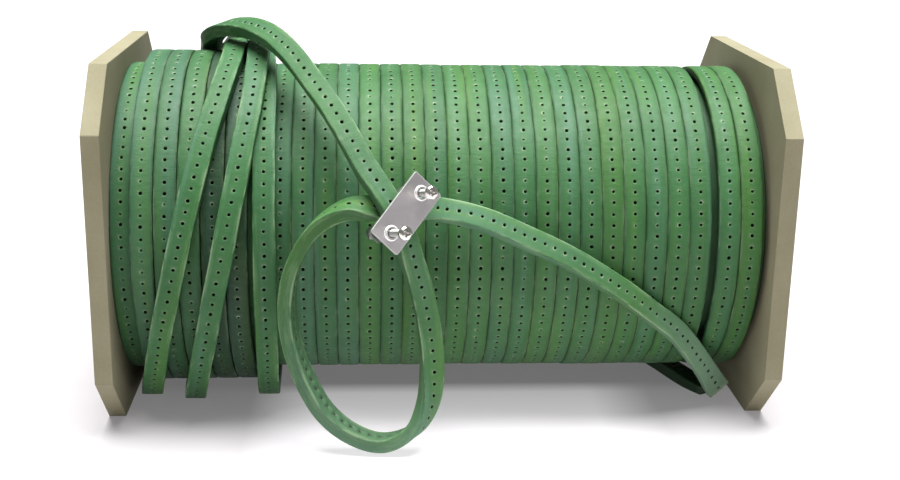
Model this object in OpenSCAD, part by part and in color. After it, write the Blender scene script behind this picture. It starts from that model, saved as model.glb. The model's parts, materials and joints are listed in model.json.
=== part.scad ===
// Reel of perforated leather strap: two octagonal wooden flanges on a tube
// core, six wound layers, three loose turns, and a free end that is looped
// and clamped to itself by a small two-plate coupling.
// X runs along the reel's axis, -Y is the front, Z is up, and the origin is
// on the table under the reel's centre.

/* [Spool] */
// Distance across the flats of each flange
flange_size = 165; // [160:1:175]
// Thickness of each flange
flange_t = 8; // [6:0.5:12]
// Leg of each cut corner of a flange
corner_cut = 26.5; // [15:0.5:35]
// Clear distance between the flanges
inner_width = 293; // [291:1:300]
// Diameter of the arbor hole through each flange
arbor_d = 32; // [20:1:40]
// Inner diameter of the core tube
core_id = 76; // [74:1:80]
// Outer diameter of the core tube
core_od = 88; // [86:1:88]

/* [Strap] */
// Width of the strap
strap_w = 9.8; // [9:0.1:9.8]
// Thickness of the strap
strap_t = 6; // [5:0.1:6]
// Rounding of the strap's edges
strap_edge = 0.8; // [0.3:0.1:1.2]
// Spacing of neighbouring turns
turn_pitch = 9.85; // [9.8:0.05:9.9]

/* [Tie rods] */
// Diameter of each tie rod
rod_d = 6; // [5:0.5:6]
// Pitch circle diameter of the tie rods
rod_pcd = 60; // [58:1:62]
// Number of tie rods
rod_count = 3; // [3:1:3]
// Outer diameter of the flange washers
washer_d = 18; // [16:1:18]
// Thickness of the flange washers
washer_t = 1.6; // [1:0.1:2]

/* [Coupling] */
// Length of the front coupling plate
plate_l = 33; // [31:1:34]
// Width of the front coupling plate
plate_w = 16; // [14:1:17]
// Length of the back coupling bar
bar_l = 27; // [27:1:30]
// Width of the back coupling bar
bar_w = 7; // [7:0.5:9]
// Thickness of the coupling's plate and bar
plate_t = 1.5; // [1:0.1:1.5]
// Distance between the two screws
screw_pitch = 22; // [21.8:0.1:23]
// Diameter of each screw's shank
screw_d = 2.9; // [2.5:0.1:2.9]
// Diameter of each screw's head
screw_head_d = 6; // [5.5:0.1:6.4]
// Length of each screw below its head
screw_l = 30; // [29.5:0.5:31]
// How far the lower screw's head stands off the front plate
lower_proud = 11.5; // [10:0.5:11.5]
// How far the upper screw's head stands off the front plate
upper_proud = 8; // [6.5:0.5:8.5]

/* [Hidden] */
$fn = 64;
eps = 0.01;

wood = [0.72, 0.66, 0.50];
card = [0.62, 0.49, 0.33];
green = [0.22, 0.48, 0.27];
dark_green = [0.17, 0.40, 0.22];
zinc = [0.80, 0.80, 0.78];
plate_grey = [0.74, 0.72, 0.72];

// Spool
axis_z = flange_size / 2;
half_inner = inner_width / 2;
core_r = core_od / 2;
groove_depth = 3;
groove_gap = 0.2;
core_l = inner_width + 2 * groove_depth;

// Tie rods, washers and nuts, M6
rod_gap = 0.25;
nut_af = 10;
nut_t = 5;
rod_overhang = 2;
washer_bore_d = rod_d + 0.4;
rod_l = inner_width + 2 * (flange_t + washer_t + nut_t + rod_overhang);

// Winding: the first stretch of turns is evenly spaced, and the last two lie
// beyond a narrow gap, next to the right flange
first_turn_x = -141.5;
even_turns = 27;
last_turns = [127.9, 137.9];
layer_5_turns = concat([for (i = [0:even_turns - 1]) first_turn_x + i * turn_pitch], last_turns);
inner_turns = [for (i = [0:28]) first_turn_x + i * 10.1];
layer_6_turns = [-131.8, -121.7, -111.6, -101.4, -91.2];

// Coupling: its origin is the centre of the front plate's back face, and its
// local Z points out through the screw heads
coupling_at = [-18.5, -98.5, 109.5];
coupling_yaw = 27;
coupling_tilt = 14;
coupling_roll = 43;
strap_room = 13;
plate_hole_d = 4.2;
plate_corner_r = 0.9;
bar_offset = 0.7;
collar_d = 6.6;
collar_h = 0.5;
head_h = 2.4;
head_recess_w = 0.9;
head_recess_depth = 1.1;
small_nut_af = 5.5;
small_nut_t = 2.4;
small_nut_bore_d = 3;
small_nut_gap = 0.1;

// Loose turns, each point [angle from the top towards the front, x, radius of
// the strap's centreline about the reel's axis]
turn_c_route = [[-5, -84, 79], [20, -80.5, 79], [40, -79.5, 79], [70, -79, 79.5], [95, -79, 80],
    [125, -79.5, 81.8], [148, -81, 84.6], [158, -81.6, 84.6], [168, -82, 81.3],
    [180, -82.5, 79.4], [210, -84, 81], [240, -86, 83], [270, -88, 83], [300, -90.5, 83],
    [325, -92.5, 83], [345, -94, 83], [365, -95.5, 83.3]];
turn_a_route = [[5, -95.5, 83.3], [21, -96.3, 83.5], [40, -100.5, 83.5], [60, -107, 83.3],
    [75, -112, 83.3], [90, -117, 83.5], [108, -123.5, 84], [128, -130, 85],
    [152, -136.5, 85], [166, -139, 81], [180, -140, 79.3], [210, -139.5, 80.5],
    [240, -139, 83.2], [270, -136.5, 83.2], [295, -128, 83.2], [313, -116, 83.5],
    [330, -102.5, 87], [345, -93, 89.2], [355, -87.5, 88.5], [365, -84.5, 85]];
turn_b_route = [[5, -84.5, 85], [24, -84.2, 83.6], [40, -85.2, 83.5], [60, -89.3, 83.3], [75, -93.3, 83.3],
    [91, -98, 83.5], [108, -103.6, 84], [134, -111.6, 86.3], [154, -116.5, 86.9],
    [167, -118, 81.7], [180, -118.5, 79.4], [205, -118, 80], [230, -117, 83],
    [255, -116, 83.2], [275, -115, 83.4], [292, -114, 86.5], [306, -113.5, 89.4],
    [320, -113, 89.2], [334, -112, 86]];

// The free end's route, each point [x, y, z] on the strap's centreline with
// the direction that the strap's outer face looks in
clamp_dir = [0.44, -0.865, 0.24];
free_route = [
    [[-112, 37.5, 159.5], [-0.05, 0.62, 0.78]],
    [[-111, 25, 163], [-0.18, 0.52, 0.83]],
    [[-108.5, 12, 168.5], [-0.28, 0.3, 0.91]],
    [[-101, -2, 174], [-0.32, 0.02, 0.95]],
    [[-89, -16, 176], [-0.28, -0.3, 0.91]],
    [[-78, -30, 174], [-0.22, -0.52, 0.82]],
    [[-68, -44, 168], [-0.18, -0.6, 0.78]],
    [[-59, -57, 159], [-0.15, -0.65, 0.74]],
    [[-50, -70, 149], [-0.08, -0.7, 0.7]],
    [[-42, -81, 138], [0.02, -0.77, 0.63]],
    [[-35, -89, 127], [0.15, -0.84, 0.5]],
    [[-29.5, -94, 119.5], [0.3, -0.88, 0.36]],
    [[-25, -97, 112.5], clamp_dir],
    [[-19, -97.5, 100], clamp_dir],
    [[-15, -96, 87], [0.32, -0.92, 0.2]],
    [[-10.5, -94.5, 72], [0.2, -0.97, 0.1]],
    [[-7.5, -94.5, 56], [0.15, -0.98, 0.03]],
    [[-6, -95.5, 40], [0.28, -0.95, 0]],
    [[-7.5, -97.5, 24], [0.6, -0.77, -0.2]],
    [[-14, -99, 11], [0.65, -0.4, -0.65]],
    [[-27, -99, 5], [0.1, 0, -1]],
    [[-41, -98, 9], [-0.35, 0.18, -0.92]],
    [[-53.5, -97, 20], [-0.72, 0.32, -0.6]],
    [[-62, -96, 36], [-0.88, 0.38, -0.28]],
    [[-67.5, -95.5, 54], [-0.96, 0.26, -0.05]],
    [[-68.5, -95, 71], [-0.95, 0.22, 0.2]],
    [[-65, -95, 87], [-0.8, 0.15, 0.5]],
    [[-56, -95.5, 102], [-0.5, 0.1, 0.85]],
    [[-44, -96, 110], [-0.2, -0.2, 0.93]],
    [[-34, -94.5, 110.5], [0.2, -0.7, 0.65]],
    [[-27, -91.5, 109.5], clamp_dir],
    [[-16, -86.5, 108], clamp_dir],
    [[-4, -82.5, 107], [0.35, -0.86, 0.36]],
    [[13.5, -84, 103.5], [0.17, -0.82, 0.54]],
    [[33.5, -83.5, 95], [0.1, -0.84, 0.53]],
    [[54, -82.5, 85], [0.06, -0.85, 0.52]],
    [[73.5, -79.5, 72.5], [0.04, -0.86, 0.5]],
    [[92.5, -74.5, 58], [0, -0.88, 0.46]],
    [[111.5, -65.5, 41], [-0.05, -0.9, 0.43]],
    [[135, -48, 8.5], [-0.15, -0.89, 0.42]]];

// The short second end's route, flat on the table under the winding
tail_route = [
    [[100, 50, 21], [0, 0.62, -0.78]],
    [[104, 38, 12], [0, 0.4, -0.92]],
    [[108.5, 26, 6.2], [0, 0.2, -0.98]],
    [[113.5, 13, 3.5], [0, 0, -1]],
    [[118.5, 0, 3.1], [0, 0, -1]],
    [[123, -13, 3.1], [0, 0, -1]],
    [[128, -25.5, 3.1], [0, 0, -1]],
    [[134, -36, 3.1], [0, 0, -1]]];

// --- Sweeping a strap along a route ---------------------------------------

function unit(v) = v / norm(v);

// Catmull-Rom curve value between b and c at t
function blend(a, b, c, d, t) =
    0.5 * (2 * b + (c - a) * t + (2 * a - 5 * b + 4 * c - d) * t * t
        + (3 * b - a - 3 * c + d) * t * t * t);

// A list of points and the smooth curve through it, with n steps per stretch
function smooth(p, n) = let (last = len(p) - 1) [
    for (i = [0:last - 1]) for (k = [0:n - 1])
        blend(p[max(i - 1, 0)], p[i], p[i + 1], p[min(i + 2, last)], k / n),
    p[last]];

// Strap section with bevelled edges, [across, out]
function section(w, t, e) = [
    [-w / 2 + e, -t / 2], [w / 2 - e, -t / 2], [w / 2, -t / 2 + e], [w / 2, t / 2 - e],
    [w / 2 - e, t / 2], [-w / 2 + e, t / 2], [-w / 2, t / 2 - e], [-w / 2, -t / 2 + e]];

// One closed strap solid from centreline points and outward directions
module strap_sweep(centres, outs) {
    profile = section(strap_w, strap_t, strap_edge);
    sides = len(profile);
    last = len(centres) - 1;
    rings = [for (i = [0:last])
        let (along = unit(centres[min(i + 1, last)] - centres[max(i - 1, 0)]),
            out = unit(outs[i] - (outs[i] * along) * along),
            across = cross(along, out))
        for (q = profile) centres[i] + q[0] * across + q[1] * out];
    walls = [for (i = [0:last - 1]) for (k = [0:sides - 1])
        let (m = (k + 1) % sides)
        each [[i * sides + k, i * sides + m, (i + 1) * sides + k],
            [i * sides + m, (i + 1) * sides + m, (i + 1) * sides + k]]];
    start_cap = [for (k = [1:sides - 2]) [0, k + 1, k]];
    e = last * sides;
    end_cap = [for (k = [1:sides - 2]) [e, e + k, e + k + 1]];
    polyhedron(points = rings, faces = concat(walls, start_cap, end_cap));
}

// A strap along a route of [centre, outward direction]
module strap_along(route, steps) {
    strap_sweep(smooth([for (p = route) p[0]], steps), smooth([for (p = route) p[1]], steps));
}

// Direction out of the axis at an angle from the top towards the front
function outward(angle) = [0, -sin(angle), cos(angle)];

// A strap wound about the axis along points of [angle, x, radius]
module strap_around(route, steps) {
    wound = smooth(route, steps);
    strap_sweep(
        [for (p = wound) [p[1], 0, axis_z] + p[2] * outward(p[0])],
        [for (p = wound) outward(p[0])]);
}

// --- Spool ----------------------------------------------------------------

// Places children so that their Z runs along the reel's axis, from x
module on_axis(x) {
    translate([x, 0, axis_z]) rotate([0, 90, 0]) children();
}

// Repeats children around the tie-rod circle
module at_rods() {
    for (i = [0:rod_count - 1]) rotate(180 + i * 360 / rod_count)
        translate([rod_pcd / 2, 0, 0]) children();
}

module octagon() {
    h = flange_size / 2;
    c = h - corner_cut;
    polygon([[h, -c], [h, c], [c, h], [-c, h], [-h, c], [-h, -c], [-c, -h], [c, -h]]);
}

// A flange whose grooved face is at its local Z = flange_t
module flange() {
    difference() {
        linear_extrude(flange_t) octagon();
        translate([0, 0, -eps]) cylinder(d = arbor_d, h = flange_t + 2 * eps);
        at_rods() translate([0, 0, -eps]) cylinder(d = rod_d + 2 * rod_gap, h = flange_t + 2 * eps);
        translate([0, 0, flange_t - groove_depth]) difference() {
            cylinder(d = core_od + groove_gap, h = groove_depth + eps);
            translate([0, 0, -eps]) cylinder(d = core_id - groove_gap, h = groove_depth + 3 * eps);
        }
    }
}

module flange_left() {
    color(wood) on_axis(-half_inner - flange_t) flange();
}

module flange_right() {
    color(wood) on_axis(half_inner + flange_t) mirror([0, 0, 1]) flange();
}

module core_tube() {
    color(card) on_axis(-core_l / 2) difference() {
        cylinder(d = core_od, h = core_l);
        translate([0, 0, -eps]) cylinder(d = core_id, h = core_l + 2 * eps);
    }
}

module tie_rod(i) {
    color(zinc) on_axis(-rod_l / 2) rotate(180 + i * 360 / rod_count)
        translate([rod_pcd / 2, 0, 0]) cylinder(d = rod_d, h = rod_l);
}

// Washers on one side, from local Z = 0 outwards
module tie_washers() {
    at_rods() difference() {
        cylinder(d = washer_d, h = washer_t);
        translate([0, 0, -eps]) cylinder(d = washer_bore_d, h = washer_t + 2 * eps);
    }
}

module hex_nut(af, t, bore_d) {
    difference() {
        intersection() {
            cylinder(d = af / cos(30), h = t, $fn = 6);
            cylinder(d1 = af * 0.98, d2 = af * 0.98 + 4 * t, h = t);
            cylinder(d1 = af * 0.98 + 4 * t, d2 = af * 0.98, h = t);
        }
        translate([0, 0, -eps]) cylinder(d = bore_d, h = t + 2 * eps);
    }
}

module tie_nuts() {
    translate([0, 0, washer_t]) at_rods() hex_nut(nut_af, nut_t, rod_d + 0.1);
}

module on_left_face() {
    on_axis(-half_inner - flange_t) mirror([0, 0, 1]) children();
}

module on_right_face() {
    on_axis(half_inner + flange_t) children();
}

// --- Winding --------------------------------------------------------------

// One wound layer as a ribbed sleeve, a rib for each turn
module wound_layer(level, turns) {
    r0 = core_r + (level - 1) * strap_t;
    r1 = r0 + strap_t;
    half = strap_w / 2;
    ribs = [for (x = turns) each [
        [r1 - strap_edge, x - half], [r1, x - half + strap_edge],
        [r1, x + half - strap_edge], [r1 - strap_edge, x + half]]];
    first = turns[0] - half;
    last = turns[len(turns) - 1] + half;
    on_axis(0) rotate_extrude($fn = 96) polygon(concat([[r0, first]], ribs, [[r0, last]]));
}

// The outermost full layer, in two lengths with the gap between them
module outer_layer() {
    wound_layer(5, [for (i = [0:even_turns - 1]) layer_5_turns[i]]);
    wound_layer(5, last_turns);
}

// --- Coupling -------------------------------------------------------------

module at_coupling() {
    translate(coupling_at) rotate([90 - coupling_tilt, 0, coupling_yaw])
        rotate(coupling_roll) children();
}

// The axis of one screw: side is -1 for the lower and 1 for the upper
module at_screw(side) {
    at_coupling() translate([side * screw_pitch / 2, 0, 0]) children();
}

module rounded_rect(l, w, r) {
    square([l - 2 * r, w], center = true);
    square([l, w - 2 * r], center = true);
    for (x = [-1, 1]) for (y = [-1, 1]) translate([x * (l / 2 - r), y * (w / 2 - r)]) circle(r);
}

// A flat plate with a hole for each screw, shifted sideways past its holes
module drilled_plate(l, w, shift) {
    difference() {
        translate([0, shift, 0]) linear_extrude(plate_t) rounded_rect(l, w, plate_corner_r);
        for (side = [-1, 1]) translate([side * screw_pitch / 2, 0, -eps])
            cylinder(d = plate_hole_d, h = plate_t + 2 * eps);
    }
}

module hole_collar() {
    difference() {
        cylinder(d1 = collar_d, d2 = collar_d - 0.8, h = collar_h);
        translate([0, 0, -eps]) cylinder(d = plate_hole_d, h = collar_h + 2 * eps);
    }
}

module coupling_front_plate() {
    color(plate_grey) at_coupling() {
        drilled_plate(plate_l, plate_w, 0);
        for (side = [-1, 1]) translate([side * screw_pitch / 2, 0, plate_t]) hole_collar();
    }
}

module coupling_back_bar() {
    color(zinc) at_coupling() translate([0, 0, -strap_room - plate_t])
        drilled_plate(bar_l, bar_w, -bar_offset);
}

// A pan-head screw with a cross recess, pointing down from local Z = 0
module screw() {
    r = screw_head_d / 2;
    translate([0, 0, -screw_l]) cylinder(d = screw_d, h = screw_l + eps);
    difference() {
        rotate_extrude() polygon([[0, 0], [r, 0], [r, head_h * 0.4], [r * 0.93, head_h * 0.68],
            [r * 0.75, head_h * 0.88], [r * 0.4, head_h], [0, head_h]]);
        for (a = [0, 90]) rotate(a + 20) translate([0, 0, head_h])
            cube([r * 1.15, head_recess_w, 2 * head_recess_depth], center = true);
    }
}

module coupling_screw(side, proud) {
    color(zinc) at_screw(side) translate([0, 0, plate_t + proud]) screw();
}

module coupling_nut(side) {
    color(zinc) at_screw(side)
        translate([0, 0, -strap_room - plate_t - small_nut_gap - small_nut_t])
            hex_nut(small_nut_af, small_nut_t, small_nut_bore_d);
}

// --- Nodes ----------------------------------------------------------------

flange_left();
flange_right();
core_tube();
tie_rod(0);  // tie_rod_1
tie_rod(1);  // tie_rod_2
tie_rod(2);  // tie_rod_3
color(zinc) on_left_face() tie_washers();  // tie_washers_left
color(zinc) on_right_face() tie_washers();  // tie_washers_right
color(zinc) on_left_face() tie_nuts();  // tie_nuts_left
color(zinc) on_right_face() tie_nuts();  // tie_nuts_right
color(dark_green) wound_layer(1, inner_turns);  // strap_layer_1
color(dark_green) wound_layer(2, inner_turns);  // strap_layer_2
color(dark_green) wound_layer(3, inner_turns);  // strap_layer_3
color(dark_green) wound_layer(4, inner_turns);  // strap_layer_4
color(green) outer_layer();  // strap_layer_5
color(green) wound_layer(6, layer_6_turns);  // strap_layer_6
color(green) strap_around(turn_c_route, 2);  // strap_turn_c
color(green) strap_around(turn_a_route, 2);  // strap_turn_a
color(green) strap_around(turn_b_route, 2);  // strap_turn_b
color(green) strap_along(free_route, 2);  // strap_free_end
color(dark_green) strap_along(tail_route, 1);  // strap_tail
coupling_front_plate();
coupling_back_bar();
coupling_screw(-1, lower_proud);  // lower_screw
coupling_screw(1, upper_proud);  // upper_screw
coupling_nut(-1);  // lower_nut
coupling_nut(1);  // upper_nut
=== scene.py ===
"""Looks for a reel of perforated green leather strap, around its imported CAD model."""
import json
import math
import random

import bmesh
import bpy
import numpy as np
from mathutils import Euler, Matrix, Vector


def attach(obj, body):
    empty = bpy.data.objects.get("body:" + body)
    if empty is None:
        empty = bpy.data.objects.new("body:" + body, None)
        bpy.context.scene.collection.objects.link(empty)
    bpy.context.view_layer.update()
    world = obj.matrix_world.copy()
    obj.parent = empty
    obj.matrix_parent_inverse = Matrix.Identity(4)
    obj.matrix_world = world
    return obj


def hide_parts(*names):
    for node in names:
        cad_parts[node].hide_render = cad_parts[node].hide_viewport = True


MM = 0.001
SEED = 41

# Strap section, in metres
STRAP_W = 9.8 * MM
STRAP_T = 6 * MM
HOLE_PITCH = 5 * MM
HOLE_R = 0.66 * MM
RIM_R = 1.25 * MM
RIM_SINK = 0.1 * MM
HOLE_DEPTH = 2.6 * MM
HOLE_JITTER = 0.28 * MM
HOLE_SIDES = 12
OPEN_HOLES = 0.8
WORN_END = 4 * MM
ROWS_PER_CELL = 3

# Colours
# Pale colour for the worn end, partly painted light
PALE_WEAR_AND_PAINTED_LIGHT = (0.19, 0.31, 0.205)
# Near black in the holes: painted shade
HOLE_PAINTED_SHADE = (0.003, 0.006, 0.003)
STRAP_COLOURS = {
    "light": (0.0445, 0.144, 0.0485), "dark": (0.032, 0.111, 0.036),
    "blue": (0.06, 0.155, 0.088), "yellow": (0.058, 0.16, 0.03),
    "edge_colour": (0.24, 0.36, 0.2), "rim_colour": (0.36, 0.46, 0.3), "wear": 0.8,
}
# A darker copy of the leather's colours: painted shade, for the tail under the reel and the hidden
# inner layers
SHADED_STRAP_COLOURS = {
    "light": (0.035, 0.095, 0.038), "dark": (0.02, 0.062, 0.024),
    "blue": (0.02, 0.07, 0.04), "yellow": (0.04, 0.1, 0.025),
    "edge_colour": (0.08, 0.13, 0.08), "rim_colour": (0.13, 0.17, 0.11), "wear": 0.5,
}
BOARD_DARK = (0.252, 0.230, 0.144)
BOARD_LIGHT = (0.296, 0.275, 0.181)
CARD_DARK = (0.30, 0.20, 0.12)
CARD_LIGHT = (0.42, 0.30, 0.19)
ZINC = (0.62, 0.62, 0.60)
SATIN_PLATE = (0.82, 0.785, 0.795)
# The plate's bevelled edges take a near-white, barely metallic colour: a painted highlight
PLATE_EDGE_HIGHLIGHT = (0.93, 0.93, 0.9)
PLATE_EDGE_HIGHLIGHT_METALLIC = 0.15
BRIGHT_SCREW = (0.84, 0.82, 0.76)
DULL_NUT = (0.34, 0.34, 0.33)

# Winding
AXIS_Z = 82.5 * MM
LAYER_5_R = 68 * MM
LAYER_6_R = 74 * MM
FIRST_TURN_X = -141.5 * MM
TURN_PITCH = 9.85 * MM
EVEN_TURNS = 27
LAST_TURNS = (127.9 * MM, 137.9 * MM)
LAYER_6_TURNS = (-131.8 * MM, -121.7 * MM, -111.6 * MM, -101.4 * MM, -91.2 * MM)
# The two turns between the loose turns, made much darker: painted shade, for the shadow the loose
# turns cast over them
SHADED_TURNS = (-101.4 * MM, -91.2 * MM)
SHADED_LOOK = -6.5
SHADE_VARIES = 0.8
TINT_VARIES = 0.3
LAYER_6_DARKER = 1.2
# Layer 6's bluish tint is a painted sheen
LAYER_6_PAINTED_SHEEN = 0.35
TURN_RADIUS_VARIES = 0.22 * MM
TURN_X_VARIES = 0.05 * MM
TURN_WANDER = 0.08 * MM
SEAM_ANGLE = 220
FLARE_LENGTH = 28 * MM
FLARE_WIDER = 0.2
FLARE_THINNER = 0.3
FRAY = 0.7 * MM
TURNS_PER_PIECE = 8

# The floor, and its glow as a fill light: painted light that lightens the reel's
# shadow, strongest in front of the reel and fading past its two ends
FLOOR_HALF = 4.0
FLOOR_COLOUR = (0.4, 0.385, 0.395)
FILL_COLOUR = (1, 0.97, 1)
FILL_FROM = -18 * MM
FILL_DEPTH = 70 * MM
FILL_HALF = 150 * MM
FILL_LOW = 0.14
FILL_HIGH = 0.5
FILL_HIGHEST = 0.72

# Light
WORLD_BRIGHTNESS = 0.2
SUN_POWER = 8.7
SUN_ANGLE = 46
SUN_TILT = (-1, 1, 0)

# Coupling screws, along the joints' axis
SCREW_L = 30 * MM
SHANK_R = 1.45 * MM
THREAD_PITCH = 0.5 * MM
THREAD_SIDES = 16
THREAD_STARTS = 0.3 * MM
THREAD_SHORTER = 0.8 * MM
RIDGE_ROOT = -0.05 * MM
RIDGE_CREST = 0.13 * MM
RIDGE_HALF = 0.2 * MM
PLATE_T = 1.5 * MM
LOWER_PROUD = 11.5 * MM
UPPER_PROUD = 8 * MM
NUT_JOINT_AT = -15 * MM

# Camera, matched to the flanges' corners
CAMERA_AT = (-34.3 * MM, -635.2 * MM, 253.0 * MM)
CAMERA_PITCH = 16.1
CAMERA_YAW = 3.72
CAMERA_ROLL = 1.01
CAMERA_LENS = 53.0
SENSOR = 36.0

# Routes repeated from part.scad, in millimetres. A loose turn's points are
# (angle from the top towards the front, x, centreline radius)
TURN_C = [
    (-5, -84, 79), (20, -80.5, 79), (40, -79.5, 79), (70, -79, 79.5), (95, -79, 80),
    (125, -79.5, 81.8), (148, -81, 84.6), (158, -81.6, 84.6), (168, -82, 81.3),
    (180, -82.5, 79.4), (210, -84, 81), (240, -86, 83), (270, -88, 83), (300, -90.5, 83),
    (325, -92.5, 83), (345, -94, 83), (365, -95.5, 83.3),
]
TURN_A = [
    (5, -95.5, 83.3), (21, -96.3, 83.5), (40, -100.5, 83.5), (60, -107, 83.3),
    (75, -112, 83.3), (90, -117, 83.5), (108, -123.5, 84), (128, -130, 85),
    (152, -136.5, 85), (166, -139, 81), (180, -140, 79.3), (210, -139.5, 80.5),
    (240, -139, 83.2), (270, -136.5, 83.2), (295, -128, 83.2), (313, -116, 83.5),
    (330, -102.5, 87), (345, -93, 89.2), (355, -87.5, 88.5), (365, -84.5, 85),
]
TURN_B = [
    (5, -84.5, 85), (24, -84.2, 83.6), (40, -85.2, 83.5), (60, -89.3, 83.3), (75, -93.3, 83.3),
    (91, -98, 83.5), (108, -103.6, 84), (134, -111.6, 86.3), (154, -116.5, 86.9),
    (167, -118, 81.7), (180, -118.5, 79.4), (205, -118, 80), (230, -117, 83),
    (255, -116, 83.2), (275, -115, 83.4), (292, -114, 86.5), (306, -113.5, 89.4),
    (320, -113, 89.2), (334, -112, 86),
]
# The free end's and tail's points are (x, y, z) and the outer face's direction
CLAMP_DIR = (0.44, -0.865, 0.24)
FREE_END = [
    ((-112, 37.5, 159.5), (-0.05, 0.62, 0.78)),
    ((-111, 25, 163), (-0.18, 0.52, 0.83)),
    ((-108.5, 12, 168.5), (-0.28, 0.3, 0.91)),
    ((-101, -2, 174), (-0.32, 0.02, 0.95)),
    ((-89, -16, 176), (-0.28, -0.3, 0.91)),
    ((-78, -30, 174), (-0.22, -0.52, 0.82)),
    ((-68, -44, 168), (-0.18, -0.6, 0.78)),
    ((-59, -57, 159), (-0.15, -0.65, 0.74)),
    ((-50, -70, 149), (-0.08, -0.7, 0.7)),
    ((-42, -81, 138), (0.02, -0.77, 0.63)),
    ((-35, -89, 127), (0.15, -0.84, 0.5)),
    ((-29.5, -94, 119.5), (0.3, -0.88, 0.36)),
    ((-25, -97, 112.5), CLAMP_DIR),
    ((-19, -97.5, 100), CLAMP_DIR),
    ((-15, -96, 87), (0.32, -0.92, 0.2)),
    ((-10.5, -94.5, 72), (0.2, -0.97, 0.1)),
    ((-7.5, -94.5, 56), (0.15, -0.98, 0.03)),
    ((-6, -95.5, 40), (0.28, -0.95, 0)),
    ((-7.5, -97.5, 24), (0.6, -0.77, -0.2)),
    ((-14, -99, 11), (0.65, -0.4, -0.65)),
    ((-27, -99, 5), (0.1, 0, -1)),
    ((-41, -98, 9), (-0.35, 0.18, -0.92)),
    ((-53.5, -97, 20), (-0.72, 0.32, -0.6)),
    ((-62, -96, 36), (-0.88, 0.38, -0.28)),
    ((-67.5, -95.5, 54), (-0.96, 0.26, -0.05)),
    ((-68.5, -95, 71), (-0.95, 0.22, 0.2)),
    ((-65, -95, 87), (-0.8, 0.15, 0.5)),
    ((-56, -95.5, 102), (-0.5, 0.1, 0.85)),
    ((-44, -96, 110), (-0.2, -0.2, 0.93)),
    ((-34, -94.5, 110.5), (0.2, -0.7, 0.65)),
    ((-27, -91.5, 109.5), CLAMP_DIR),
    ((-16, -86.5, 108), CLAMP_DIR),
    ((-4, -82.5, 107), (0.35, -0.86, 0.36)),
    ((13.5, -84, 103.5), (0.17, -0.82, 0.54)),
    ((33.5, -83.5, 95), (0.1, -0.84, 0.53)),
    ((54, -82.5, 85), (0.06, -0.85, 0.52)),
    ((73.5, -79.5, 72.5), (0.04, -0.86, 0.5)),
    ((92.5, -74.5, 58), (0, -0.88, 0.46)),
    ((111.5, -65.5, 41), (-0.05, -0.9, 0.43)),
    ((135, -48, 8.5), (-0.15, -0.89, 0.42)),
]
# How the strap looks along its length: (part of the length, shade, tint, paleness). The shade is
# painted light and shade, lighter where the strap faces the light; the tint is partly dye streaks
# and partly a bluish painted sheen; the paleness is partly a worn, frayed end and partly painted
# light.
FREE_LOOK = [
    (0, 0.3, 0, 0), (0.15, 0, -0.1, 0), (0.27, 0.2, 0, 0.15), (0.4, 0.3, -0.2, 0.05),
    (0.44, 2, 0.3, 0.25), (0.5, 1.6, 0.2, 0.3), (0.56, 0.5, 0, 0.1), (0.68, 0.2, -0.3, 0),
    (0.73, 1.8, 0.8, 0.15), (0.82, 1.2, 0.2, 0.1), (0.88, 0.3, -0.5, 0.05),
    (0.92, 0.6, 0.1, 0.35), (0.96, 1.2, 0.3, 0.7), (1, 1.5, 0.4, 0.95),
]
TAIL_LOOK = [(0, 0.5, 0, 0)]
TAIL = [
    ((100, 50, 21), (0, 0.62, -0.78)),
    ((104, 38, 12), (0, 0.4, -0.92)),
    ((108.5, 26, 6.2), (0, 0.2, -0.98)),
    ((113.5, 13, 3.5), (0, 0, -1)),
    ((118.5, 0, 3.1), (0, 0, -1)),
    ((123, -13, 3.1), (0, 0, -1)),
    ((128, -25.5, 3.1), (0, 0, -1)),
    ((134, -36, 3.1), (0, 0, -1)),
]


# --- Camera, light and floor -------------------------------------------------

def make_camera():
    data = bpy.data.cameras.new("camera")
    data.lens = CAMERA_LENS
    data.sensor_width = SENSOR
    data.clip_start = 0.01
    data.clip_end = 20
    camera = bpy.data.objects.new("camera", data)
    camera.location = CAMERA_AT
    pitch, yaw, roll = (math.radians(a) for a in (CAMERA_PITCH, CAMERA_YAW, CAMERA_ROLL))
    tilt = Euler((math.pi / 2 - pitch, 0, -yaw)).to_matrix()
    camera.rotation_euler = (tilt @ Euler((0, 0, roll)).to_matrix()).to_euler()
    bpy.context.scene.collection.objects.link(camera)
    bpy.context.scene.camera = camera


def make_world(brightness):
    world = bpy.data.worlds.new("world")
    world.use_nodes = True
    background = world.node_tree.nodes["Background"]
    background.inputs["Color"].default_value = (1, 1, 1, 1)
    background.inputs["Strength"].default_value = brightness
    bpy.context.scene.world = world


def make_sun():
    data = bpy.data.lights.new("sky_light", "SUN")
    data.energy = SUN_POWER
    data.angle = math.radians(SUN_ANGLE)
    sun = bpy.data.objects.new("sky_light", data)
    sun.rotation_euler = [math.radians(a) for a in SUN_TILT]
    bpy.context.scene.collection.objects.link(sun)


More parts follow.
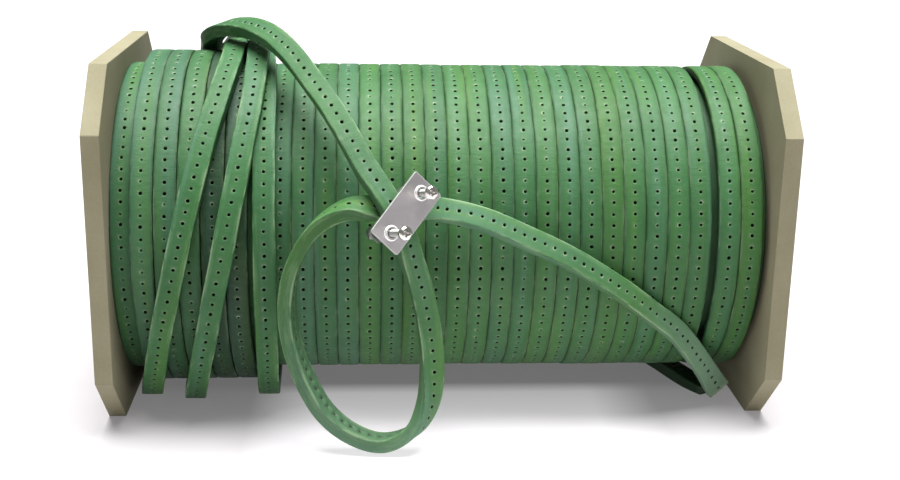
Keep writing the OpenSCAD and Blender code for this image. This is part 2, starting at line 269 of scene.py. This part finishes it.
def make_floor():
    half = FLOOR_HALF
    mesh = bpy.data.meshes.new("floor")
    mesh.from_pydata([(-half, -half, 0), (half, -half, 0), (half, half, 0), (-half, half, 0)],
                     [], [(0, 1, 2, 3)])
    floor = bpy.data.objects.new("floor", mesh)
    bpy.context.scene.collection.objects.link(floor)
    material, tree, shader = new_material("floor_white")
    shader.inputs["Base Color"].default_value = (*FLOOR_COLOUR, 1)
    shader.inputs["Roughness"].default_value = 0.85
    # The glow is painted light that lightens the reel's shadow on the floor
    shader.inputs["Emission Color"].default_value = (*FILL_COLOUR, 1)
    place = tree.nodes.new("ShaderNodeTexCoord").outputs["Object"]
    apart = tree.nodes.new("ShaderNodeSeparateXYZ")
    tree.links.new(place, apart.inputs["Vector"])
    forward = maths(tree, "MULTIPLY_ADD", apart.outputs["Y"], -1 / FILL_DEPTH,
                    FILL_FROM / FILL_DEPTH)
    fill = ramp(tree, forward, [(0, grey(FILL_LOW)), (0.18, grey(0.8 * FILL_HIGH)),
                                (0.6, grey(FILL_HIGH)), (0.95, grey(FILL_HIGHEST))])
    along = maths(tree, "MULTIPLY_ADD", apart.outputs["X"], 0.5 / FILL_HALF, 0.5)
    between = ramp(tree, along, [(0.2, grey(0.1)), (0.31, grey(1)), (0.75, grey(1)),
                                 (0.85, grey(0.2))])
    glow = mix(tree, between, grey(FILL_LOW), fill)
    tree.links.new(glow, shader.inputs["Emission Strength"])
    mesh.materials.append(material)


# --- Materials ---------------------------------------------------------------

def new_material(name):
    material = bpy.data.materials.new(name)
    material.use_nodes = True
    tree = material.node_tree
    return material, tree, tree.nodes["Principled BSDF"]


def add(tree, kind, **values):
    """A node with its properties or inputs set by name."""
    node = tree.nodes.new(kind)
    for key, value in values.items():
        if hasattr(node, key):
            setattr(node, key, value)
        else:
            node.inputs[key.replace("_", " ")].default_value = value
    return node


def noise(tree, scale, detail=4.0, roughness=0.55, stretch=(1, 1, 1), over="object"):
    """3-D noise in metres, over the object's own coordinates or along the strap."""
    if over == "object":
        place = tree.nodes.new("ShaderNodeTexCoord").outputs["Object"]
    else:
        along = tree.nodes.new("ShaderNodeAttribute")
        along.attribute_name = "strap_at"
        place = along.outputs["Vector"]
    mapping = tree.nodes.new("ShaderNodeMapping")
    mapping.inputs["Scale"].default_value = stretch
    tree.links.new(place, mapping.inputs["Vector"])
    node = add(tree, "ShaderNodeTexNoise", Scale=scale, Detail=detail, Roughness=roughness)
    tree.links.new(mapping.outputs["Vector"], node.inputs["Vector"])
    return node.outputs["Fac"]


def ramp(tree, source, stops):
    """A colour ramp of (position, colour) stops."""
    node = tree.nodes.new("ShaderNodeValToRGB")
    elements = node.color_ramp.elements
    while len(elements) < len(stops):
        elements.new(0.5)
    for element, (position, colour) in zip(elements, stops):
        element.position = position
        element.color = (*colour, 1) if len(colour) == 3 else colour
    tree.links.new(source, node.inputs["Fac"])
    return node.outputs["Color"]


def mix(tree, factor, a, b, blend="MIX"):
    """Mixes two colours, each a socket or a fixed colour."""
    node = tree.nodes.new("ShaderNodeMix")
    node.data_type = "RGBA"
    node.blend_type = blend
    for socket, value in ((node.inputs[0], factor), (node.inputs[6], a), (node.inputs[7], b)):
        if isinstance(value, bpy.types.NodeSocket):
            tree.links.new(value, socket)
        else:
            socket.default_value = value if isinstance(value, (int, float)) else (*value, 1)
    return node.outputs[2]


def maths(tree, operation, a, b=0.0, c=0.0):
    node = tree.nodes.new("ShaderNodeMath")
    node.operation = operation
    for socket, value in zip(node.inputs, (a, b, c)):
        if isinstance(value, bpy.types.NodeSocket):
            tree.links.new(value, socket)
        else:
            socket.default_value = value
    return node.outputs[0]


def attribute(tree, name):
    node = tree.nodes.new("ShaderNodeAttribute")
    node.attribute_name = name
    return node.outputs["Fac"]


def bump(tree, shader, height, distance, strength=1.0):
    node = add(tree, "ShaderNodeBump", Strength=strength, Distance=distance)
    tree.links.new(height, node.inputs["Height"])
    tree.links.new(node.outputs["Normal"], shader.inputs["Normal"])


def grey(value):
    return (value, value, value)


def brightness(tree, colour, factor):
    node = tree.nodes.new("ShaderNodeHueSaturation")
    tree.links.new(colour, node.inputs["Color"])
    tree.links.new(factor, node.inputs["Value"])
    return node.outputs["Color"]


def leather_material(name, light, dark, blue, yellow, edge_colour, rim_colour, wear):
    """Green dyed leather: streaked along its length, worn at its edges and round its holes. Its
    tone also carries painted light and shade, the bluish part of its tint a painted sheen, and it
    has painted shade towards its sides and in its holes.
    """
    material, tree, shader = new_material(name)
    colour = ramp(tree, noise(tree, 48, 5, 0.6), [(0.3, dark), (0.7, light)])
    bands = noise(tree, 210, 3, 0.5, stretch=(0.05, 1, 1), over="strap")
    # Tint: bluish and yellowish dye streaks, and a bluish painted sheen
    tint = attribute(tree, "tint")
    bluer = maths(tree, "ADD", maths(tree, "MAXIMUM", tint, 0.0),
                  ramp(tree, bands, [(0.33, grey(0.6)), (0.47, grey(0))]))
    yellower = maths(tree, "ADD", maths(tree, "MAXIMUM", maths(tree, "MULTIPLY", tint, -1.0), 0.0),
                     ramp(tree, bands, [(0.53, grey(0)), (0.68, grey(0.6))]))
    colour = mix(tree, maths(tree, "MINIMUM", bluer, 0.9), colour, blue)
    colour = mix(tree, maths(tree, "MINIMUM", yellower, 0.9), colour, yellow)
    creases = noise(tree, 620, 4, 0.65, stretch=(1, 0.25, 1), over="strap")
    # Each turn's tone: random, with painted light and shade added along the free end and on the
    # shaded turns
    shade = maths(tree, "MULTIPLY_ADD", attribute(tree, "tone_and_painted_light"), 0.09, 0.86)
    creased = maths(tree, "MULTIPLY_ADD", creases, 0.28, shade)
    # Painted shade towards the strap's edges, sides and underside
    painted_side_shade = maths(tree, "MULTIPLY_ADD", attribute(tree, "side"), -0.3, 1.0)
    colour = brightness(tree, colour, maths(tree, "MULTIPLY", creased, painted_side_shade))
    flecks = noise(tree, 900, 3, 0.7)
    worn_spots = ramp(tree, noise(tree, 330, 4, 0.7, (0.18, 1, 1), "strap"),
                      [(0.47, grey(0)), (0.62, grey(1))])
    # Paler towards the worn end, partly painted light
    colour = mix(tree, attribute(tree, "pale_wear_and_painted_light"), colour, PALE_WEAR_AND_PAINTED_LIGHT)
    edge = maths(tree, "MULTIPLY", attribute(tree, "edge"), wear)
    colour = mix(tree, maths(tree, "MULTIPLY", worn_spots, edge), colour, edge_colour)
    rim = maths(tree, "MULTIPLY", attribute(tree, "rim"), ramp(
        tree, flecks, [(0.36, grey(0.35)), (0.6, grey(1))]))
    colour = mix(tree, rim, colour, rim_colour)
    # Painted shade: the holes are painted near black
    colour = mix(tree, attribute(tree, "hole"), colour, HOLE_PAINTED_SHADE)
    fibres = ramp(tree, flecks, [(0.3, grey(0.45)), (0.62, grey(1))])
    colour = mix(tree, maths(tree, "MULTIPLY", attribute(tree, "cut"), fibres), colour, rim_colour)
    tree.links.new(colour, shader.inputs["Base Color"])
    rough = ramp(tree, noise(tree, 120, 4, 0.6), [(0.3, grey(0.44)), (0.7, grey(0.62))])
    tree.links.new(rough, shader.inputs["Roughness"])
    shader.inputs["Specular IOR Level"].default_value = 0.22
    grain = maths(tree, "ADD", noise(tree, 1400, 5, 0.6), creases)
    bump(tree, shader, grain, 0.00022, 0.8)
    return material


def board_material():
    """Raw fibreboard: fine fibres over broad, faint blotches."""
    material, tree, shader = new_material("fibreboard")
    fine = noise(tree, 900, 6, 0.7)
    broad = noise(tree, 30, 4, 0.5)
    colour = ramp(tree, broad, [(0.35, BOARD_DARK), (0.65, BOARD_LIGHT)])
    fibres = ramp(tree, fine, [(0.35, grey(0.62)), (0.65, grey(1))])
    colour = mix(tree, 0.25, colour, fibres, "MULTIPLY")
    tree.links.new(colour, shader.inputs["Base Color"])
    shader.inputs["Roughness"].default_value = 0.8
    shader.inputs["Specular IOR Level"].default_value = 0.25
    bump(tree, shader, fine, 0.0001, 0.4)
    return material


def card_material():
    material, tree, shader = new_material("paperboard")
    fine = noise(tree, 300, 5, 0.6, stretch=(0.2, 1, 1))
    colour = ramp(tree, fine, [(0.3, CARD_DARK), (0.7, CARD_LIGHT)])
    tree.links.new(colour, shader.inputs["Base Color"])
    shader.inputs["Roughness"].default_value = 0.85
    bump(tree, shader, fine, 0.0002, 0.4)
    return material


def metal_material(name, colour, rough_low, rough_high, scale, stretch=(1, 1, 1)):
    material, tree, shader = new_material(name)
    grain = noise(tree, scale, 4, 0.6, stretch=stretch)
    tint = ramp(tree, noise(tree, 120, 3), [(0.3, tuple(0.9 * c for c in colour)), (0.7, colour)])
    tree.links.new(tint, shader.inputs["Base Color"])
    shader.inputs["Metallic"].default_value = 1.0
    rough = ramp(tree, grain, [(0.3, grey(rough_low)), (0.7, grey(rough_high))])
    tree.links.new(rough, shader.inputs["Roughness"])
    bump(tree, shader, grain, 0.00005, 0.3)
    return material


# --- Strap meshes ------------------------------------------------------------

def smooth_path(points, steps):
    """Catmull-Rom through the points, with a number of steps per stretch."""
    p = np.array(points, float)
    last = len(p) - 1
    out = []
    for i in range(last):
        a, b, c, d = p[max(i - 1, 0)], p[i], p[i + 1], p[min(i + 2, last)]
        for k in range(steps):
            t = k / steps
            out.append(0.5 * (2 * b + (c - a) * t + (2 * a - 5 * b + 4 * c - d) * t * t
                              + (3 * b - a - 3 * c + d) * t ** 3))
    out.append(p[last])
    return np.array(out)


class Line:
    """A strap's centreline and outward directions, looked up by length."""

    def __init__(self, centres, outs):
        self.centres = centres
        self.outs = outs
        steps = np.linalg.norm(np.diff(centres, axis=0), axis=1)
        self.at = np.concatenate([[0], np.cumsum(steps)])
        self.length = self.at[-1]
        along = np.gradient(centres, axis=0)
        self.along = along / np.linalg.norm(along, axis=1)[:, None]

    def look_up(self, values, s):
        return np.stack([np.interp(s, self.at, values[:, k]) for k in range(3)], axis=1)

    def frame(self, s):
        centre = self.look_up(self.centres, s)
        along = self.look_up(self.along, s)
        along /= np.linalg.norm(along, axis=1)[:, None]
        out = self.look_up(self.outs, s)
        out -= (out * along).sum(1)[:, None] * along
        out /= np.linalg.norm(out, axis=1)[:, None]
        return centre, along, out, np.cross(along, out)


def outward(angles):
    """Directions out of the reel's axis, at angles from the top towards the front."""
    a = np.radians(angles)
    return np.stack([np.zeros_like(a), -np.sin(a), np.cos(a)], axis=1)


def around(points, steps):
    """The line of a loose turn from its (angle, x, radius) points."""
    p = smooth_path(points, steps)
    outs = outward(p[:, 0])
    centres = p[:, 2:3] * MM * outs
    centres[:, 0] = p[:, 1] * MM
    centres[:, 2] += AXIS_Z
    return Line(centres, outs)


def along_route(route, steps):
    centres = smooth_path([r[0] for r in route], steps) * MM
    return Line(centres, smooth_path([r[1] for r in route], steps))


def hoop(x, radius, tilt):
    """A closed turn of layer 5 or 6, whose x wanders a little round the axis."""
    angles = np.linspace(SEAM_ANGLE, SEAM_ANGLE + 360, 361)
    outs = outward(angles)
    centres = radius * outs
    centres[:, 0] = x + tilt * np.cos(2 * np.radians(angles))
    centres[:, 2] += AXIS_Z
    return Line(centres, outs)


# Half of a strap's section from top to bottom: (across, out, wear, side), where
# across is from the middle and out from the middle of the thickness, wear pales the
# worn edges, and side is painted shade that darkens the strap towards its edges,
# sides and underside. A wound turn is pressed into a low crown; a free strap keeps
# flat faces and small round edges.
HALF_W = STRAP_W / 2
HALF_T = STRAP_T / 2
CORE_HALF = 2.3 * MM
WOUND_SECTION = [
    (CORE_HALF, HALF_T, 0.0, 0.0), (3.7 * MM, HALF_T - 0.05 * MM, 0.05, 0.3),
    (HALF_W - 0.6 * MM, HALF_T - 0.15 * MM, 0.2, 0.9),
    (HALF_W - 0.15 * MM, HALF_T - 0.36 * MM, 0.45, 1.2),
    (HALF_W + 0.04 * MM, HALF_T - 0.75 * MM, 0.25, 1.6), (HALF_W + 0.04 * MM, 0, 0.1, 1.5),
    (CORE_HALF, -HALF_T, 0.0, 1.5),
]
FREE_SECTION = [
    (CORE_HALF, HALF_T, 0.0, 0.0), (HALF_W - 0.9 * MM, HALF_T - 0.02 * MM, 0.3, 0.0),
    (HALF_W - 0.45 * MM, HALF_T - 0.06 * MM, 0.8, 0.0),
    (HALF_W - 0.12 * MM, HALF_T - 0.2 * MM, 1.0, 0.0),
    (HALF_W - 0.02 * MM, HALF_T - 0.5 * MM, 0.9, 0.4), (HALF_W, HALF_T - 0.9 * MM, 0.3, 0.8),
    (HALF_W, -HALF_T + 0.9 * MM, 0.2, 0.8), (HALF_W - 0.04 * MM, -HALF_T + 0.4 * MM, 0.8, 0.6),
    (HALF_W - 0.4 * MM, -HALF_T + 0.04 * MM, 0.8, 0.8), (CORE_HALF, -HALF_T, 0.0, 0.8),
]


def strap_mesh(name, line, section, closed, rng, look, hole_pitch=HOLE_PITCH):
    """A strap with a hole every pitch, as a closed mesh along a line.

    The look is a list of (part of the length, shade, tint, paleness), end to end; shade, tint and
    paleness carry painted light as well as tone, dye and wear.
    Each cell has rows of section points at thirds of the pitch. Between the two
    inner columns the face is a ring of quads round the hole. A closed turn's
    holes are blind, because the layer beneath closes them.
    """
    through = not closed
    outer_count = len(section)
    cells = int(round(line.length / hole_pitch))
    pitch = line.length / cells
    rows = cells * ROWS_PER_CELL + (0 if closed else 1)
    verts, faces = [], []
    data = {"edge": [], "side": [], "rim": [], "hole": [], "cut": []}

    def put(s, across, out, edge=0.0, side=0.0, rim=0.0, hole=0.0, cut=0.0):
        verts.append((s, across, out))
        for key, value in zip(data, (edge, side, rim, hole, cut)):
            data[key].append(value)
        return len(verts) - 1

    sides = [[], []]
    for row in range(rows):
        s = row * pitch / ROWS_PER_CELL
        for k, sign in enumerate((1, -1)):
            sides[k].append([put(s, sign * a, o, wear, side) for a, o, wear, side in section])
    t = STRAP_T / 2
    inner = CORE_HALF / 3
    core_top, core_bottom = [], []
    for cell in range(cells + (0 if closed else 1)):
        s = cell * pitch
        core_top.append([put(s, a, t) for a in (inner, -inner)])
        core_bottom.append([put(s, a, -t) for a in (inner, -inner)])

    def row_of(k, row):
        return sides[k][row % len(sides[k])] if closed else sides[k][row]

    for row in range(rows if closed else rows - 1):
        for k in (0, 1):
            a, b = row_of(k, row), row_of(k, row + 1)
            for i in range(outer_count - 1):
                quad = (a[i], a[i + 1], b[i + 1], b[i])
                faces.append(quad if k == 0 else quad[::-1])

    def boundary(cell, top):
        """The 12 points round a cell's middle, counted the same way on both faces."""
        i = 0 if top else outer_count - 1
        core = core_top if top else core_bottom
        near, far = core[cell], core[(cell + 1) % len(core)]
        r0 = cell * ROWS_PER_CELL
        right = [row_of(0, r0 + j)[i] for j in range(ROWS_PER_CELL + 1)]
        left = [row_of(1, r0 + j)[i] for j in range(ROWS_PER_CELL + 1)]
        return [right[0], right[1], right[2], right[3], far[0], far[1],
                left[3], left[2], left[1], left[0], near[1], near[0]]

    corners = [(1, -1), (1, -1 / 3), (1, 1 / 3), (1, 1), (1 / 3, 1), (-1 / 3, 1),
               (-1, 1), (-1, 1 / 3), (-1, -1 / 3), (-1, -1), (-1 / 3, -1), (1 / 3, -1)]
    angles = [math.atan2(v, u) for u, v in corners]
    for cell in range(cells):
        middle = (cell + 0.5) * pitch + rng.uniform(-1, 1) * HOLE_JITTER
        off = rng.uniform(-0.6, 0.6) * HOLE_JITTER
        open_part = 1.0 if through or rng.random() < OPEN_HOLES else rng.uniform(0.15, 0.6)
        size = HOLE_R * rng.uniform(0.82, 1.14) * (0.6 + 0.4 * open_part)
        # A paler crescent on one side of each hole's rim, of random strength and direction
        rim_crescent = rng.uniform(0.1, 1.0) ** 1.3
        rim_crescent_at = rng.gauss(-0.9, 0.5)
        rim_weights = [0.15 + 1.1 * rim_crescent * max(0.0, math.cos(a - rim_crescent_at)) for a in angles]
        ring = {}
        for level, (radius, out, rim, hole) in {
            "rim": (RIM_R, t, 0.12, 0.0),
            "lip": (size + 0.22 * MM, t - RIM_SINK * 0.3, 0.95, 0.0),
            "wall": (size, t - 0.3 * MM * open_part, 0.1, 0.75 * open_part),
            "deep": (size * 0.85, t - HOLE_DEPTH * open_part, 0.0, open_part),
        }.items():
            ring[level] = [put(middle + radius * math.sin(a), off + radius * math.cos(a), out,
                               0.0, 0.0, min(1.0, rim * strength), hole)
                           for a, strength in zip(angles, rim_weights)]
        outer = boundary(cell, True)
        bands = [outer, ring["rim"], ring["lip"], ring["wall"], ring["deep"]]
        if through:
            for key, out, hole in (("under", -t + HOLE_DEPTH, 1.0), ("mouth", -t + 0.1 * MM, 0.3)):
                radius = size * (0.8 if key == "under" else 0.95)
                ring[key] = [put(middle + radius * math.sin(a), off + radius * math.cos(a), out,
                                 0.0, 0.6, 0.2, hole) for a in angles]
            bands += [ring["under"], ring["mouth"], boundary(cell, False)]
        for a, b in zip(bands, bands[1:]):
            for k in range(HOLE_SIDES):
                m = (k + 1) % HOLE_SIDES
                faces.append((a[k], a[m], b[m], b[k]))
        if not through:
            faces.append(tuple(ring["deep"]))
            faces.append(tuple(reversed(boundary(cell, False))))
    if not closed:
        for row, flip in ((0, False), (-1, True)):
            right, left = sides[0][row], sides[1][row]
            cell = 0 if row == 0 else -1
            loop = (list(right) + core_bottom[cell] + list(reversed(left))
                    + list(reversed(core_top[cell])))
            for v in loop:
                data["cut"][v] = 0.8
            middle = put(verts[loop[0]][0], 0, 0, cut=1.0)
            for k in range(len(loop)):
                m = (k + 1) % len(loop)
                tri = (loop[k], loop[m], middle)
                faces.append(tri[::-1] if flip else tri)

    v = np.array(verts)
    if not closed:
        fray_and_flare(v, line.length, rng)
    centre, along, out, across = line.frame(v[:, 0] % line.length if closed else v[:, 0])
    co = centre + v[:, 1:2] * across + v[:, 2:3] * out
    mesh = bpy.data.meshes.new(name)
    mesh.from_pydata(co.tolist(), [], faces)
    part = v[:, 0] / line.length
    at, *values = zip(*look)
    for key, stops in zip(("tone_and_painted_light", "tint", "pale_wear_and_painted_light"), values):
        data[key] = np.interp(part, at, stops)
    if not closed:
        to_end = np.clip(1 - (line.length - v[:, 0]) / WORN_END, 0, 1)
        data["cut"] = np.maximum(data["cut"], 0.9 * to_end ** 1.5)
    for key, values in data.items():
        layer = mesh.attributes.new(key, "FLOAT", "POINT")
        layer.data.foreach_set("value", np.array(values, np.float32))
    strap_at = v.copy()
    strap_at[:, 2] += rng.uniform(0, 3)
    layer = mesh.attributes.new("strap_at", "FLOAT_VECTOR", "POINT")
    layer.data.foreach_set("vector", strap_at.astype(np.float32).ravel())
    mesh.shade_smooth()
    return mesh


def fray_and_flare(v, length, rng):
    """Uneven edges, ragged cut ends, and a far end that spreads and thins."""
    phase = [rng.uniform(0, 6.28) for _ in range(4)]
    wave = (np.sin(v[:, 0] / (7 * MM) + phase[0]) + np.sin(v[:, 0] / (4.1 * MM) + phase[1]))
    v[:, 1] *= 1 + 0.006 * wave
    wave = (np.sin(v[:, 0] / (9 * MM) + phase[2]) + np.sin(v[:, 0] / (5.3 * MM) + phase[3]))
    v[:, 1] += 0.05 * MM * wave
    k = np.clip((v[:, 0] - length + FLARE_LENGTH) / FLARE_LENGTH, 0, 1) ** 2
    v[:, 1] *= 1 + FLARE_WIDER * k
    v[:, 2] *= 1 - FLARE_THINNER * k
    for end, sign in ((0.0, 1), (length, -1)):
        for i in np.flatnonzero(np.abs(v[:, 0] - end) < 0.01 * MM):
            v[i, 0] += sign * rng.uniform(0, 1) * FRAY


def strap_piece(name, meshes, material, node):
    """One piece from strap meshes, standing for a CAD node."""
    objects = []
    for mesh in meshes:
        mesh.materials.append(material)
        item = bpy.data.objects.new(name, mesh)
        bpy.context.scene.collection.objects.link(item)
        objects.append(item)
    piece = objects[0]
    if len(objects) > 1:
        with bpy.context.temp_override(active_object=piece, selected_editable_objects=objects):
            bpy.ops.object.join()
    piece.name = name
    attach(piece, "reel")
    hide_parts(node)
    return piece


def wound_turns(xs, inner_r, rng):
    """Closed turns side by side, each a little different."""
    meshes = []
    pitch = HOLE_PITCH * (inner_r + STRAP_T / 2) / (inner_r + STRAP_T)
    for x in xs:
        radius = inner_r + STRAP_T / 2 + rng.uniform(-1, 1) * TURN_RADIUS_VARIES
        line = hoop(x + rng.uniform(-1, 1) * TURN_X_VARIES, radius,
                    rng.uniform(-1, 1) * TURN_WANDER)
        shade = rng.uniform(-SHADE_VARIES, SHADE_VARIES)
        bluer = 0.0
        if inner_r == LAYER_6_R:
            # Painted shade on the two turns between the loose turns; the rest of layer 6 is darker
            shade = SHADED_LOOK if x in SHADED_TURNS else shade - LAYER_6_DARKER
            # A bluish painted sheen on layer 6
            bluer = LAYER_6_PAINTED_SHEEN
        look = [(0, shade, rng.gauss(bluer, TINT_VARIES), 0),
                (1, shade, rng.gauss(bluer, TINT_VARIES), 0)]
        meshes.append(strap_mesh("turn", line, WOUND_SECTION, True, rng, look, pitch))
    return meshes


def make_winding(material, rng):
    even = [FIRST_TURN_X + i * TURN_PITCH for i in range(EVEN_TURNS)]
    turns = even + list(LAST_TURNS)
    for part, start in enumerate(range(0, len(turns), TURNS_PER_PIECE)):
        xs = turns[start:start + TURNS_PER_PIECE]
        strap_piece(f"layer_5_turns_{part + 1}", wound_turns(xs, LAYER_5_R, rng), material,
                    "strap_layer_5")
    strap_piece("layer_6_turns", wound_turns(LAYER_6_TURNS, LAYER_6_R, rng), material,
                "strap_layer_6")
    for letter, route in (("c", TURN_C), ("a", TURN_A), ("b", TURN_B)):
        mesh = strap_mesh("turn", around(route, 6), FREE_SECTION, False, rng, [(0, 0.2, 0, 0)])
        strap_piece(f"loose_turn_{letter}", [mesh], material, f"strap_turn_{letter}")


def make_cords(material, shaded, rng):
    """The two free ends, as flat straps along their routes."""
    # The tail, in the reel's shadow, takes the darker copy of the leather: painted shade
    for name, route, look, node, mat, slot in (
            ("free_end", FREE_END, FREE_LOOK, "strap_free_end", material, "strap"),
            ("tail_end", TAIL, TAIL_LOOK, "strap_tail", shaded, "strap_shaded")):
        line = along_route(route, 6)
        mesh = strap_mesh(name, line, FREE_SECTION, False, rng, look)
        piece = strap_piece(name, [mesh], mat, node)


# --- Boards, tube and metal --------------------------------------------------

def softened_copy(node, name, width, segments, material, body, edge=None):
    """A CAD node's shape with its sharp edges rounded, in place of the node."""
    mesh = frame["nodes"][node].data.copy()
    mesh.materials.clear()
    mesh.materials.append(material)
    mesh.materials.append(edge or material)
    piece = bpy.data.objects.new(name, mesh)
    bpy.context.scene.collection.objects.link(piece)
    build = bmesh.new()
    build.from_mesh(mesh)
    bmesh.ops.remove_doubles(build, verts=build.verts, dist=1e-6)
    bmesh.ops.dissolve_limit(build, angle_limit=math.radians(2), verts=build.verts,
                             edges=build.edges)
    build.to_mesh(mesh)
    build.free()
    bevel = piece.modifiers.new("bevel", "BEVEL")
    bevel.width = width
    bevel.segments = segments
    bevel.material = 1
    bevel.limit_method = "ANGLE"
    bevel.angle_limit = math.radians(35)
    mesh.shade_flat()
    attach(piece, body)
    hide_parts(node)
    return piece


def thread(name, body, nut_joint, proud, material):
    """A screw's helical ridge, standing just proud of its plain shank."""
    joint = next(j for j in frame["record"]["behaviour"]["joints"] if j["name"] == nut_joint)
    axis = Vector(joint["axis"]).normalized()
    tip = PLATE_T + proud - SCREW_L
    foot = Vector(joint["pos_m"]) + axis * (tip + THREAD_STARTS - NUT_JOINT_AT)
    side = axis.orthogonal().normalized()
    other = axis.cross(side)
    steps = int((SCREW_L - THREAD_SHORTER) / THREAD_PITCH * THREAD_SIDES)
    verts, faces = [], []
    for k in range(steps + 1):
        turn = 2 * math.pi * k / THREAD_SIDES
        ray = side * math.cos(turn) + other * math.sin(turn)
        rise = THREAD_PITCH * k / THREAD_SIDES
        for proud_of, up in ((RIDGE_ROOT, -RIDGE_HALF), (RIDGE_CREST, 0), (RIDGE_ROOT, RIDGE_HALF)):
            verts.append(foot + axis * (rise + up) + ray * (SHANK_R + proud_of))
        if k:
            a = 3 * (k - 1)
            for i in range(3):
                j = (i + 1) % 3
                faces.append((a + i, a + j, a + 3 + j, a + 3 + i))
    faces += [(2, 1, 0), (3 * steps, 3 * steps + 1, 3 * steps + 2)]
    mesh = bpy.data.meshes.new(name)
    mesh.from_pydata(verts, [], faces)
    mesh.materials.append(material)
    piece = bpy.data.objects.new(name, mesh)
    bpy.context.scene.collection.objects.link(piece)
    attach(piece, body)


def paint(node, material):
    """Gives a CAD node its material."""
    target = frame["nodes"][node]
    target.data.materials.clear()
    target.data.materials.append(material)


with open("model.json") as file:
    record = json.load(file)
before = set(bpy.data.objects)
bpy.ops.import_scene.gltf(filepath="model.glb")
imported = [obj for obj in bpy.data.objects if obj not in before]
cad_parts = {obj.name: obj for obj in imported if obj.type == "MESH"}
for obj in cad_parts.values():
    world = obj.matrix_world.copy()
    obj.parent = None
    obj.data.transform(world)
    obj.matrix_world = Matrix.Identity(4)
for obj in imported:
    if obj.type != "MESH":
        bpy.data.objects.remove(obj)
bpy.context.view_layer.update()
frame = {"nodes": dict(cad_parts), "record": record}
make_camera()
bpy.context.scene.view_settings.view_transform = "Standard"
rng = random.Random(SEED)
strap = leather_material("green_leather", **STRAP_COLOURS)
strap_shaded = leather_material("green_leather_painted_shade", **SHADED_STRAP_COLOURS)
make_cords(strap, strap_shaded, rng)
make_winding(strap, rng)
board = board_material()
card = card_material()
zinc = metal_material("zinc_plate", ZINC, 0.28, 0.5, 400)
plate = metal_material("satin_plate", SATIN_PLATE, 0.3, 0.42, 900, (1, 6, 1))
# Painted highlight for the front plate's bevelled edges
edge_highlight = metal_material("plate_edge_painted_highlight", PLATE_EDGE_HIGHLIGHT, 0.4, 0.6, 900)
edge_highlight.node_tree.nodes["Principled BSDF"].inputs["Metallic"].default_value = PLATE_EDGE_HIGHLIGHT_METALLIC
bright = metal_material("bright_screw", BRIGHT_SCREW, 0.12, 0.3, 600)
dull = metal_material("dull_nut", DULL_NUT, 0.35, 0.5, 400)
softened_copy("flange_left", "left_board", 0.4 * MM, 2, board, "reel")
softened_copy("flange_right", "right_board", 0.4 * MM, 2, board, "reel")
paint("core_tube", card)
# The inner layers take the darker copy of the leather: painted shade
for node in ("strap_layer_1", "strap_layer_2", "strap_layer_3", "strap_layer_4"):
    paint(node, strap_shaded)
for node in frame["nodes"]:
    if node.startswith("tie_"):
        paint(node, zinc)
softened_copy("coupling_front_plate", "front_plate", 0.3 * MM, 2, plate, "reel", edge_highlight)
paint("coupling_back_bar", zinc)
for side, proud in (("lower", LOWER_PROUD), ("upper", UPPER_PROUD)):
    paint(f"{side}_screw", bright)
    paint(f"{side}_nut", dull)
    thread(f"{side}_thread", f"{side}_screw", f"{side}_nut_turn", proud, dull)
make_world(WORLD_BRIGHTNESS)
make_floor()
make_sun()
